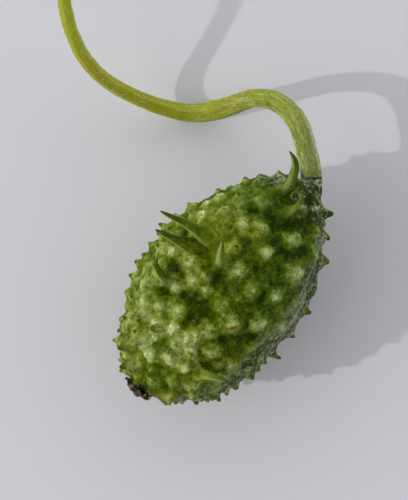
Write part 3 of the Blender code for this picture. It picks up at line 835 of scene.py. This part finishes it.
def makeFruit(material):
    warts = wartPlaces()
    fruit = fineBall("fruitSkin", *fruitShape["ball"])
    for reach in wartShape["finer"]:
        refine(fruit, warts, reach)
    share, angle = gathered(*ballPlaces(meshPoints(fruit.data)), warts)
    core, normals = turnedPoints(share, angle)
    strength, size = wartShape["unevenness"]
    warp = 1.0 + strength * lumps(core, size, 2)
    bumps = lumps(core, fruitShape["relief"][1])
    ring = fruitShape["radius"] * np.stack([np.sin(angle), np.cos(angle)], axis=-1)
    fibres = np.column_stack([fruitShape["stretch"] * core[:, 0], ring])
    rise, pale, whiteAndGlint, scar = wartRelief(core, warp, warts)
    rise += bodyRelief(core, angle, fibres, bumps)
    upper = smoothStep(core[:, 2] / fruitShape["upperFrom"])

    def areas(rows, uneven=1.0):
        for x, y, size, strength in rows:
            yield strength, bell(lengths(core[:, :2] - [x, y]) * uneven, size) * upper

    strength, size = fruitShape["toneLumps"]
    tone = strength * lumps(core, size, 2) + 0.5 * bumps
    tone += sum(strength * area for strength, area in areas(toneAreas))
    strength, size = fruitShape["hueLumps"]
    hue = strength * lumps(core + 40.0, size, 2)
    hue += sum(strength * area for strength, area in areas(hueAreas))
    # the hollows are painted darker, partly as shade, and sunk a little
    for strength, hollow in areas(shadedHollows, warp):
        tone -= strength * hollow
        rise -= fruitShape["hollowDepth"] * min(strength, 1.0) * hollow
    # whitish spots, partly painted highlights
    for strength, spot in areas(paleSpots, warp):
        whiteAndGlint = np.maximum(whiteAndGlint, strength * spot)
    for strength, stain in areas(stains, warp):
        scar = np.maximum(scar, strength * stain)

    skin = leanNeck(core) + normals * rise[:, None]
    spineShare, lightness, litEdge = np.zeros((3, len(core)))
    for wart in warts:
        if wart.kind in ("spine", "spike"):
            pullOut(wart, core, skin, spineShare, lightness, litEdge)
    skin[:, 2] = np.maximum(skin[:, 2] + fruitShape["axisHeight"], 0.0)
    setMeshPoints(fruit.data, skin)
    addVectors(fruit.data, "marks", pale, whiteAndGlint, scar)
    addVectors(fruit.data, "tones", tone, litEdge, fruitShape["neckEnd"] - core[:, 0])
    addVectors(fruit.data, "spines", spineShare, lightness, np.clip(hue, -1.0, 1.0))
    addVectors(fruit.data, "grain", *fibres.T)
    return finishPiece(fruit, material, "fruit")


def gherkinSkin():
    skin = Shader("gherkinSkin", Subsurface_Weight=0.1, Subsurface_Scale=0.0006,
                  Subsurface_Radius=(0.7, 1.0, 0.2), Specular_IOR_Level=0.02,
                  Coat_Weight=0.015, Coat_Roughness=0.08)
    place = skin.objectPlace()
    pale, whiteAndGlint, scar = skin.parts(skin.attribute("marks"))
    tone, litEdge, fromNeck = skin.parts(skin.attribute("tones"))
    share, lightness, hue = skin.parts(skin.attribute("spines"))
    grain = skin.attribute("grain")
    mottle = skin.noise(place, 900.0, 4.0, 0.65)
    blotch = skin.noise(place, 380.0, 3.0, 0.6)
    speck = skin.noise(place, 2600.0, 2.0)
    dots = skin.noise(place, 1900.0, 1.0)
    grit = skin.noise(place, 1500.0, 2.0)
    streak = skin.noise(grain, 0.9, 3.0, 0.7)

    # how light the skin is, from its hollows and warts: the hollows' dark is partly painted shade,
    # and the warts' bright middles partly a painted highlight
    uneven = skin.plus(skin.scaled(mottle, 0.9, -0.45), skin.scaled(blotch, 0.6, -0.3),
                       skin.ramp(dots, 0.64, 0.71, 0.0, -0.26),
                       skin.ramp(dots, 0.33, 0.27, 0.0, 0.22))
    valley = skin.math("MAXIMUM", skin.scaled(tone, 0.3, 0.23), 0.02)
    depth = skin.times(skin.math("SUBTRACT", 1.0, valley), skin.scaled(pale, -0.56, 1.0),
                       skin.scaled(whiteAndGlint, -0.7, 1.0))
    light = skin.plus(skin.math("SUBTRACT", 1.0, depth), uneven)

    # greyer and streaked along the right flank, the side away from the light, where the grey and
    # the pale streaks are partly wax bloom and partly a painted reflection of the pale
    # surroundings; mealy on the neck
    rightSide = skin.ramp(skin.parts(grain)[1], -10.0, -13.4)
    shade = skin.times(skin.ramp(streak, 0.47, 0.38), rightSide, 0.75)
    ribbon = skin.times(skin.ramp(streak, 0.5, 0.62), skin.plus(rightSide, 0.03),
                        skin.ramp(mottle, 0.35, 0.6, 0.25, 0.85))
    neck = skin.ramp(fromNeck, 8.5, 3.0)
    clumped = skin.scaled(mottle, 0.7, skin.times(blotch, 0.8))
    meal = skin.times(skin.ramp(clumped, 0.7, 0.9), neck)
    flecks = skin.times(skin.ramp(grit, 0.55, 0.64), skin.scaled(rightSide, 0.45, meal))
    hollow = skin.scaled(rightSide, 0.55, skin.times(neck, 0.9))
    pores = skin.times(skin.ramp(grit, 0.46, 0.37), hollow)

    body = skin.layers(
        skin.palette(lightness, spikeColours),
        ((mottle, 0.4, 0.7, 0.3), (0.13, 0.17, 0.006)),
        ((blotch, 0.52, 0.4, 0.5), (0.03, 0.055, 0.001)),
        ((grit, 0.56, 0.68, 0.45), (0.26, 0.31, 0.07)),
        ((share, 0.4, 0.85, 0.5), (0.03, 0.06, 0.0015)),            # darker towards the tip
        # painted highlight on the side that faces the light
        ((litEdge, 0.1, 0.7, 0.75), (0.32, 0.37, 0.12)))
    colour = skin.layers(
        skin.palette(light, skinColours),
        ((hue, 0.0, 1.0, 1.0), skin.palette(light, warmColours)),
        ((hue, 0.1, -0.8, 1.0), skin.palette(light, coolColours)),
        # painted reflection of the pale surroundings, with the wax bloom, greys the right flank
        (skin.times(rightSide, 0.5), (0.115, 0.14, 0.07)),
        (shade, (0.022, 0.034, 0.012)),
        (ribbon, (0.36, 0.4, 0.26)),
        # darker neck: its own dark green, deepened with painted shade
        (skin.times(neck, 0.7), (0.018, 0.032, 0.004)),
        (skin.times(meal, 0.85), (0.23, 0.27, 0.14)),
        (skin.math("MINIMUM", flecks, 0.85), (0.48, 0.52, 0.36)),
        (skin.math("MINIMUM", pores, 0.85), (0.01, 0.018, 0.003)),
        ((share, 0.12, 0.42, 1.0), body),
        ((share, 0.93, 1.0, 0.4), (0.03, 0.03, 0.004)),             # the very tip of a spine
        ((scar, 0.02, 0.2, 0.65), (0.2, 0.16, 0.006)),
        ((scar, 0.25, 0.7, 1.0), (0.12, 0.085, 0.012)))
    facing = skin.bump(skin.scaled(mottle, 1.6, speck), 0.8, 0.00014)
    return skin.finish(Base_Color=colour, Roughness=skin.ramp(mottle, 0.3, 0.7, 0.35, 0.6),
                       Normal=facing, Coat_Normal=facing)


fruit = makeFruit(gherkinSkin())


# Stalk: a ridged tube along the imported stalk's own route, with a clean cut at its far end

stalkShape = {                      # millimetres
    "route": [
        (29.52, 4.99, 14.4, 1.94), (31.7, 8.6, 14.5, 1.9), (32.5, 12.4, 13.9, 1.84),
        (30.9, 17.2, 10.6, 1.8), (27.6, 19.9, 6.0, 1.88), (25.0, 21.8, 3.3, 1.96),
        (22.4, 24.2, 1.95, 1.94), (19.9, 27.8, 2.75, 1.74), (18.0, 31.9, 4.9, 1.58),
        (16.6, 36.0, 7.5, 1.46), (15.7, 40.2, 10.8, 1.36), (15.8, 44.6, 14.8, 1.3),
        (17.4, 49.0, 18.4, 1.26), (20.3, 53.2, 20.8, 1.24), (24.5, 57.4, 22.2, 1.22),
    ],
    "startRadius": 2.04,
    "startInside": 0.6,             # how far the stalk reaches into the neck
    "handle": 1.5,
    "steps": 24,
    "sides": 72,
    "ridges": 6,
    "groove": 0.09,
    "fineRidges": 18,
    "fineGroove": 0.03,
    "lumps": (0.09, 2.2),           # height and size
    "grit": (0.05, 0.45),
    "fibres": (0.03, 0.3),
    "fibreRadius": 1.6,
    "stretch": 0.12,                # how drawn out the fibres are
    "joint": (0.16, 0.3),           # the crease where it meets the neck: depth and width
    # the side that faces the light: the stalk's edge towards it gets a painted highlight, its far
    # side painted shade and its far edge a painted sheen
    "litSide": (-0.64, 0.77, 0.0),
    "ridgeTone": 0.15,
    "spot": (31.3, 14.9, 13.7),     # a brown spot on the bend
    "spotSize": 0.9,
    "cutInset": 0.2,
    "cutDepth": 0.12,
}


def stalkProfile():
    curve = bpy.data.curves.new("stalkProfile", "CURVE")
    spline = curve.splines.new("POLY")
    spline.points.add(stalkShape["sides"] - 1)
    for index, point in enumerate(spline.points):
        angle = -2 * math.pi * index / stalkShape["sides"]
        radius = 1.0 - 0.5 * stalkShape["groove"] * (1.0 - math.cos(stalkShape["ridges"] * angle))
        fine = 1.0 - math.cos(stalkShape["fineRidges"] * angle)
        radius -= 0.5 * stalkShape["fineGroove"] * fine
        point.co = (radius * math.cos(angle), radius * math.sin(angle), 0.0, 1.0)
    spline.use_cyclic_u = True
    return newObject("stalkProfile", curve)


def stalkCurve(profile):
    turn = fruitShape["neckTurn"]
    heading = Vector((math.cos(turn), math.sin(turn), 0.0))
    neck = Vector((fruitShape["neckEnd"], 0.0, fruitShape["axisHeight"]))
    start = (neck - stalkShape["startInside"] * heading) * mm
    curve = bpy.data.curves.new("stalkRidged", "CURVE")
    curve.dimensions = "3D"
    curve.resolution_u = stalkShape["steps"]
    curve.bevel_mode = "OBJECT"
    curve.bevel_object = profile
    spline = curve.splines.new("BEZIER")
    spline.bezier_points.add(len(stalkShape["route"]))
    for point, (x, y, z, radius) in zip(spline.bezier_points[1:], stalkShape["route"]):
        point.co = (x * mm, y * mm, z * mm)
        point.radius = radius * mm
        point.handle_left_type = "AUTO"
        point.handle_right_type = "AUTO"
    first = spline.bezier_points[0]
    first.co = start
    first.radius = stalkShape["startRadius"] * mm
    first.handle_left_type = "FREE"
    first.handle_right_type = "FREE"
    first.handle_left = start - stalkShape["handle"] * mm * heading
    first.handle_right = start + stalkShape["handle"] * mm * heading
    return newObject("stalkRidged", curve)


def roughenStalk(mesh):
    # lumps, grit and fibres on the tube, and the values that its material reads
    points = meshPoints(mesh) / mm
    rings = points.reshape(-1, stalkShape["sides"], 3)
    middles = rings.mean(axis=1)
    far = runningSum(lengths(np.diff(middles, axis=0)))
    along = np.repeat(far, stalkShape["sides"])
    outward = unit((rings - middles[:, None]).reshape(-1, 3))
    angle = np.tile(np.arange(stalkShape["sides"]) * 2 * math.pi / stalkShape["sides"], len(rings))
    ring = stalkShape["fibreRadius"] * np.stack([np.cos(angle), np.sin(angle)], axis=-1)
    fibres = np.column_stack([stalkShape["stretch"] * along, ring])
    rise = np.zeros(len(points))
    for name, place, octaves in (("lumps", points, 3), ("grit", points, 2), ("fibres", fibres, 2)):
        height, size = stalkShape[name]
        rise += height * lumps(place, size, octaves)
    fromNeck = along - stalkShape["startInside"]
    depth, width = stalkShape["joint"]
    rise = rise * smoothStep(fromNeck) - depth * bell(fromNeck, width)
    surface = points + outward * rise[:, None]
    surface[:, 2] = np.maximum(surface[:, 2], 0.0)
    setMeshPoints(mesh, surface)
    # how far each point faces the light, with the ridge crests counted as a little more lit, for
    # the painted light and shade
    side = outward @ stalkShape["litSide"]
    side += stalkShape["ridgeTone"] * np.cos(stalkShape["ridges"] * angle)
    addVectors(mesh, "grain", *fibres.T)
    addVectors(mesh, "tones", along, side, far[-1] - along)
    addValues(mesh, "spot", bell(lengths(surface - stalkShape["spot"]), stalkShape["spotSize"]))


def closeEnds(mesh):
    # fills both ends of the tube, and sinks the middle of the cut a little
    bpy.ops.object.mode_set(mode="EDIT")
    bpy.ops.mesh.select_all(action="DESELECT")
    bpy.ops.mesh.select_mode(type="EDGE")
    bpy.ops.mesh.select_non_manifold()
    bpy.ops.mesh.fill_holes(sides=0)
    bpy.ops.mesh.select_all(action="SELECT")
    bpy.ops.mesh.normals_make_consistent(inside=False)
    bpy.ops.mesh.select_mode(type="FACE")
    bpy.ops.mesh.select_all(action="DESELECT")
    bpy.ops.object.mode_set(mode="OBJECT")
    ends = [face for face in mesh.polygons if len(face.vertices) > 4]
    cut = max(ends, key=lambda face: face.center.y)
    cut.select = True
    inward = -cut.normal * stalkShape["cutDepth"] * mm
    bpy.ops.object.mode_set(mode="EDIT")
    for inset, sink in ((1.0, 1.0), (2.0, -0.6)):
        bpy.ops.mesh.inset(thickness=inset * stalkShape["cutInset"] * mm)
        bpy.ops.transform.translate(value=sink * inward)
    bpy.ops.mesh.select_all(action="DESELECT")
    bpy.ops.object.mode_set(mode="OBJECT")


def makeStalk(material):
    profile = stalkProfile()
    stalk = stalkCurve(profile)
    pick(stalk)
    bpy.ops.object.convert(target="MESH")
    bpy.data.objects.remove(profile, do_unlink=True)
    roughenStalk(stalk.data)
    closeEnds(stalk.data)
    return finishPiece(stalk, material, "stalk")


def stalkSkin():
    skin = Shader("stalkSkin", Subsurface_Weight=0.1, Subsurface_Scale=0.0006,
                  Subsurface_Radius=(0.8, 1.0, 0.2), Specular_IOR_Level=0.12,
                  Sheen_Weight=0.08, Sheen_Roughness=0.4, Sheen_Tint=(0.95, 1.0, 0.8))
    along, side, fromCut = skin.parts(skin.attribute("tones"))
    place = skin.objectPlace()
    streak = skin.noise(skin.attribute("grain"), 2.2, 4.0, 0.65)
    fine = skin.noise(place, 1500.0, 4.0, 0.7)
    patches = skin.noise(place, 300.0, 2.0)
    # darker olive on the side away from the light, more so near the fruit: painted shade
    middle = skin.times(skin.ramp(side, 0.6, 0.0), skin.ramp(along, 14.0, 3.0, 0.1, 0.6))
    # a painted highlight on the edge towards the light, and a painted sheen on the far edge
    edge = skin.math("MAXIMUM", skin.ramp(side, 0.7, 1.0), skin.ramp(side, -0.78, -1.0))
    edgeHighlight = skin.times(edge, skin.ramp(along, 20.0, 8.0, 0.2, 0.8),
                       skin.ramp(fine, 0.35, 0.55, 0.3, 1.0))
    grainy = skin.times(skin.ramp(fine, 0.45, 0.37), skin.ramp(along, 16.0, 4.0, 0.35, 0.7))
    spot = skin.times(skin.attribute("spot", "Fac"), skin.ramp(fine, 0.3, 0.55, 0.4, 1.0))
    colour = skin.layers(
        (0.25, 0.3, 0.075),
        ((along, 4.0, 16.0, 1.0), (0.29, 0.325, 0.028)),
        ((patches, 0.4, 0.7, 0.7), (0.2, 0.245, 0.008)),
        ((streak, 0.52, 0.64, 0.75), (0.5, 0.53, 0.2)),
        ((streak, 0.46, 0.36, 0.5), (0.09, 0.12, 0.006)),
        # painted shade on the far side, then the painted highlight and sheen on the edges
        (middle, (0.17, 0.225, 0.05)),
        (edgeHighlight, (0.56, 0.55, 0.33)),
        ((fine, 0.55, 0.66, 0.4), (0.5, 0.53, 0.28)),
        (grainy, (0.07, 0.1, 0.01)),
        ((along, 22.0, 44.0, 0.6), (0.4, 0.4, 0.004)),              # yellower far from the fruit
        ((spot, 0.2, 0.9, 0.85), (0.15, 0.11, 0.004)),
        ((along, 3.2, 1.2, 0.4), (0.1, 0.14, 0.04)),
        ((along, 1.15, 0.75, 1.0), (0.02, 0.035, 0.006)),           # dark line at the neck
        ((fromCut, 0.02, 0.0, 1.0), (0.36, 0.4, 0.14)))
    return skin.finish(Base_Color=colour, Roughness=skin.ramp(fine, 0.3, 0.7, 0.4, 0.6),
                       Normal=skin.bump(skin.scaled(streak, 1.5, fine), 0.6, 0.00012))


stalk = makeStalk(stalkSkin())


# Dry flower at the blossom end: a crumpled clump with ragged flakes on it

flowerShape = {                     # millimetres
    "radius": 2.9,
    "depth": 1.0,
    "petals": 5,
    "gap": 0.4,
    "ball": (2, 9),
    "crumple": 0.4,
    "flakes": 22,
    "flakeLength": (1.0, 2.0),
    "flakeWidth": (0.5, 1.1),
    "flakeTurn": 0.382,             # share of a full turn from one flake to the next
    "flakeFrom": (0.4, 2.0),        # from the middle to a flake's root
    "flakeLift": (0.05, 0.9),       # radians, and how much more at the tip
    "flakeCurl": (-0.6, 1.4),
    "flakeProud": (0.15, 1.35),
    "flakeThickness": 0.1,
    "seed": 5,
}


def blossomDepth(across):
    # how far behind the fruit's middle its blossom end lies, at a distance from the axis
    share = np.clip(across / fruitShape["radius"], 0.0, 0.99)
    return fruitShape["blossomHalf"] * np.sqrt(1.0 - share ** 2)


def behindFruit(depth, across, turn):
    # points at a depth behind the fruit's middle, round its axis
    return np.column_stack([-depth, across * np.sin(turn),
                            fruitShape["axisHeight"] + across * np.cos(turn)])


def makeClump(material):
    clump = fineBall("flowerClump", *flowerShape["ball"])
    ball = unit(meshPoints(clump.data))
    out, y, z = ball.T
    angle = np.arctan2(-y, z)
    rough = lumps(ball, 0.25, 4)
    lobe = 0.72 + 0.28 * np.cos(flowerShape["petals"] * angle + 2.0 * out) + 0.12 * rough
    across = flowerShape["radius"] * np.hypot(y, z) * lobe
    crumple = 0.75 + 0.25 * np.sin(9.0 * y + 4.0 * z) + flowerShape["crumple"] * rough
    proud = flowerShape["depth"] * np.clip(out, 0.0, None) * crumple
    proud += 0.25 * (1.0 + np.clip(out, None, 0.0))
    depth = blossomDepth(across) + flowerShape["gap"] + proud
    setMeshPoints(clump.data, behindFruit(depth, across, angle))
    addValues(clump.data, "edge", out)
    return finishPiece(clump, material, "flower_remnant")


def makeFlakes(material):
    # thin curled scraps of petal, standing off the clump
    draw = random.Random(flowerShape["seed"])
    flakes = []
    for index in range(flowerShape["flakes"]):
        bpy.ops.mesh.primitive_grid_add(x_subdivisions=9, y_subdivisions=7, size=1.0)
        flake = bpy.context.active_object
        x, y, _ = meshPoints(flake.data).T
        t = x + 0.5
        length = draw.uniform(*flowerShape["flakeLength"])
        width = draw.uniform(*flowerShape["flakeWidth"]) * (1.0 - 0.75 * t ** 2)
        angle = 2 * math.pi * (index + draw.uniform(-0.4, 0.4)) * flowerShape["flakeTurn"]
        inner = draw.uniform(*flowerShape["flakeFrom"])
        lift = draw.uniform(*flowerShape["flakeLift"])
        tilt = lift + draw.uniform(*flowerShape["flakeCurl"]) * t
        ragged = 0.3 * lumps(np.column_stack([3 * t, 5 * y, np.full(len(t), index)]), 1.0, 2)
        outward = inner + length * (t * np.cos(tilt) + 0.3 * ragged)
        proud = 0.3 + length * t * np.sin(tilt) + 0.5 * ragged + 0.25 * np.cos(9 * y + index)
        sideways = width * y * (1.0 + ragged)
        across = np.hypot(outward, sideways)
        depth = blossomDepth(across) + np.clip(proud, *flowerShape["flakeProud"])
        turn = angle + np.arctan2(sideways, outward)
        setMeshPoints(flake.data, behindFruit(depth, across, turn))
        addValues(flake.data, "edge", 2.0 * np.abs(y))
        thick = flake.modifiers.new("thickness", "SOLIDIFY")
        thick.thickness = flowerShape["flakeThickness"] * mm
        thick.offset = 0.0
        bpy.ops.object.modifier_apply(modifier="thickness")
        flakes.append(flake)
    pick(flakes[0])
    for flake in flakes:
        flake.select_set(True)
    bpy.ops.object.join()
    joined = bpy.context.active_object
    joined.name = "flowerFlakes"
    return finishPiece(joined, material)


def dryFlower():
    skin = Shader("dryFlower", Specular_IOR_Level=0.25)
    place = skin.objectPlace()
    blotch = skin.noise(place, 900.0, 4.0, 0.65)
    fibre = skin.noise(place, 3200.0, 2.0)
    colour = skin.layers(
        (0.005, 0.003, 0.002),
        ((blotch, 0.42, 0.5, 1.0), (0.08, 0.046, 0.022)),
        ((blotch, 0.52, 0.6, 1.0), (0.32, 0.22, 0.13)),
        ((fibre, 0.56, 0.7, 0.6), (0.4, 0.29, 0.18)),
        ((skin.attribute("edge", "Fac"), 0.7, 1.0, 0.35), (0.22, 0.14, 0.06)))
    return skin.finish(Base_Color=colour, Roughness=skin.ramp(fibre, 0.3, 0.7, 0.6, 0.9),
                       Normal=skin.bump(skin.scaled(blotch, 2.0, fibre), 0.9, 0.0002))


flowerMaterial = dryFlower()
makeClump(flowerMaterial)
makeFlakes(flowerMaterial)


# Hairs: short, white and slightly bent, strewn over the skin

hairShape = {                       # millimetres
    "fruitHairs": {"count": 170, "length": (0.2, 0.5), "radius": 0.032, "lean": 0.9, "seed": 21},
    "stalkHairs": {"count": 1200, "length": (0.2, 0.8), "radius": 0.02, "lean": 0.9, "seed": 22},
    "bareBelow": 0.6,
    "levels": ((-0.12, 1.0), (0.5, 0.7)),   # shares of the length and of the radius
    "tip": 0.85,
}


def hairRoots(piece, count, draw):
    # points spread evenly over the piece's faces, with the way that each faces
    mesh = piece.data
    area = np.empty(len(mesh.polygons))
    mesh.polygons.foreach_get("area", area)
    middle = np.empty(len(mesh.polygons) * 3)
    mesh.polygons.foreach_get("center", middle)
    facing = np.empty(len(mesh.polygons) * 3)
    mesh.polygons.foreach_get("normal", facing)
    chosen = draw.choice(len(area), size=count, p=area / area.sum())
    return middle.reshape(-1, 3)[chosen] / mm, facing.reshape(-1, 3)[chosen]


def makeHairs(name, piece, material):
    settings = hairShape[name]
    draw = np.random.default_rng(settings["seed"])
    roots, up = hairRoots(piece, settings["count"], draw)
    high = roots[:, 2] > hairShape["bareBelow"]
    roots, up = roots[high], up[high]
    length = draw.uniform(*settings["length"], len(roots))[:, None]
    lean = draw.normal(size=(len(roots), 3)) * settings["lean"]
    lean -= (lean * up).sum(axis=1, keepdims=True) * up
    first = unit(np.cross(up, [0.3, 0.5, 0.8]))
    second = np.cross(up, first)
    corners = []
    for share, thick in hairShape["levels"]:
        middle = roots + up * length * share + lean * length * share * abs(share)
        for turn in (0.0, 2 * math.pi / 3, 4 * math.pi / 3):
            spread = first * math.cos(turn) + second * math.sin(turn)
            corners.append(middle + spread * settings["radius"] * thick)
    corners.append(roots + up * length * hairShape["tip"] + lean * length)
    points = np.stack(corners, axis=1)
    points = points[points[:, :, 2].min(axis=1) > 0.0]
    pattern = [(2, 1, 0), (0, 1, 4, 3), (1, 2, 5, 4), (2, 0, 3, 5), (3, 4, 6), (4, 5, 6), (5, 3, 6)]
    faces = [[7 * hair + corner for corner in face]
             for hair in range(len(points)) for face in pattern]
    mesh = bpy.data.meshes.new(name)
    mesh.from_pydata(points.reshape(-1, 3) * mm, [], faces)
    mesh.update()
    return finishPiece(newObject(name, mesh), material)


def paleHair():
    skin = Shader("paleHair", Roughness=0.4, Specular_IOR_Level=0.5)
    tint = skin.noise(skin.objectPlace(), 300.0, 2.0)
    return skin.finish(Base_Color=skin.mix(tint, (0.72, 0.76, 0.5), (0.9, 0.9, 0.82)))


hairMaterial = paleHair()
makeHairs("fruitHairs", fruit, hairMaterial)
makeHairs("stalkHairs", stalk, hairMaterial)


# Floor, light and surroundings

studio = {
    "floor": (0.71, 0.70, 0.735),
    "floorShade": 0.97,
    "floorSize": 3.0,
    "surroundings": (0.955, 0.96, 1.0),
    "low": 1.08,                    # brightness of the surroundings near the horizon
    "high": 0.17,                   # and overhead
    "fade": (0.5, 0.93),            # from the horizon's light to the one overhead, as a height
    "brighterTo": (0.772, 0.636, 0.0),
    "sideways": 0.5,
    "keyFrom": (-0.651, 0.523, 0.551),
    "keyDistance": 1.4,
    "keys": {"key": (0.03, 6.2), "softKey": (1.5, 3.4)},     # size in metres and watts
    "keyColour": (1.0, 0.975, 0.94),
}


def makeFloor():
    bpy.ops.mesh.primitive_plane_add(size=studio["floorSize"])
    floor = bpy.context.active_object
    floor.name = "floor"
    paint = Shader("floorPaint", Roughness=0.6, Specular_IOR_Level=0.3)
    tint = paint.noise(paint.objectPlace(), 6.0, 2.0)
    darker = tuple(studio["floorShade"] * c for c in studio["floor"])
    floor.data.materials.append(paint.finish(Base_Color=paint.mix(tint, studio["floor"], darker)))


def makeLight(name, size, power):
    light = bpy.data.lights.new(name, "AREA")
    light.shape = "DISK"
    light.size = size
    light.energy = power
    light.color = studio["keyColour"]
    lamp = newObject(name, light)
    toLight = Vector(studio["keyFrom"]).normalized()
    lamp.location = toLight * studio["keyDistance"]
    lamp.rotation_mode = "QUATERNION"
    lamp.rotation_quaternion = toLight.to_track_quat("Z", "Y")


def makeSurroundings():
    # bright towards the horizon, more so on one side, and dim overhead
    sky = Shader("surroundings", "worlds", Color=studio["surroundings"])
    direction = sky.add("TexCoord").outputs["Generated"]
    fade = sky.ramp(sky.parts(direction)[2], *studio["fade"], studio["low"], studio["high"])
    towards = sky.add("VectorMath")
    towards.operation = "DOT_PRODUCT"
    sky.feed(towards.inputs[0], direction)
    sky.feed(towards.inputs[1], studio["brighterTo"])
    side = sky.scaled(towards.outputs["Value"], studio["sideways"], 1.0)
    bpy.context.scene.world = sky.finish(Strength=sky.times(fade, side))
    bpy.context.scene.view_settings.view_transform = "Standard"


makeFloor()
for name, (size, power) in studio["keys"].items():
    makeLight(name, size, power)
makeSurroundings()
print("studio is set")
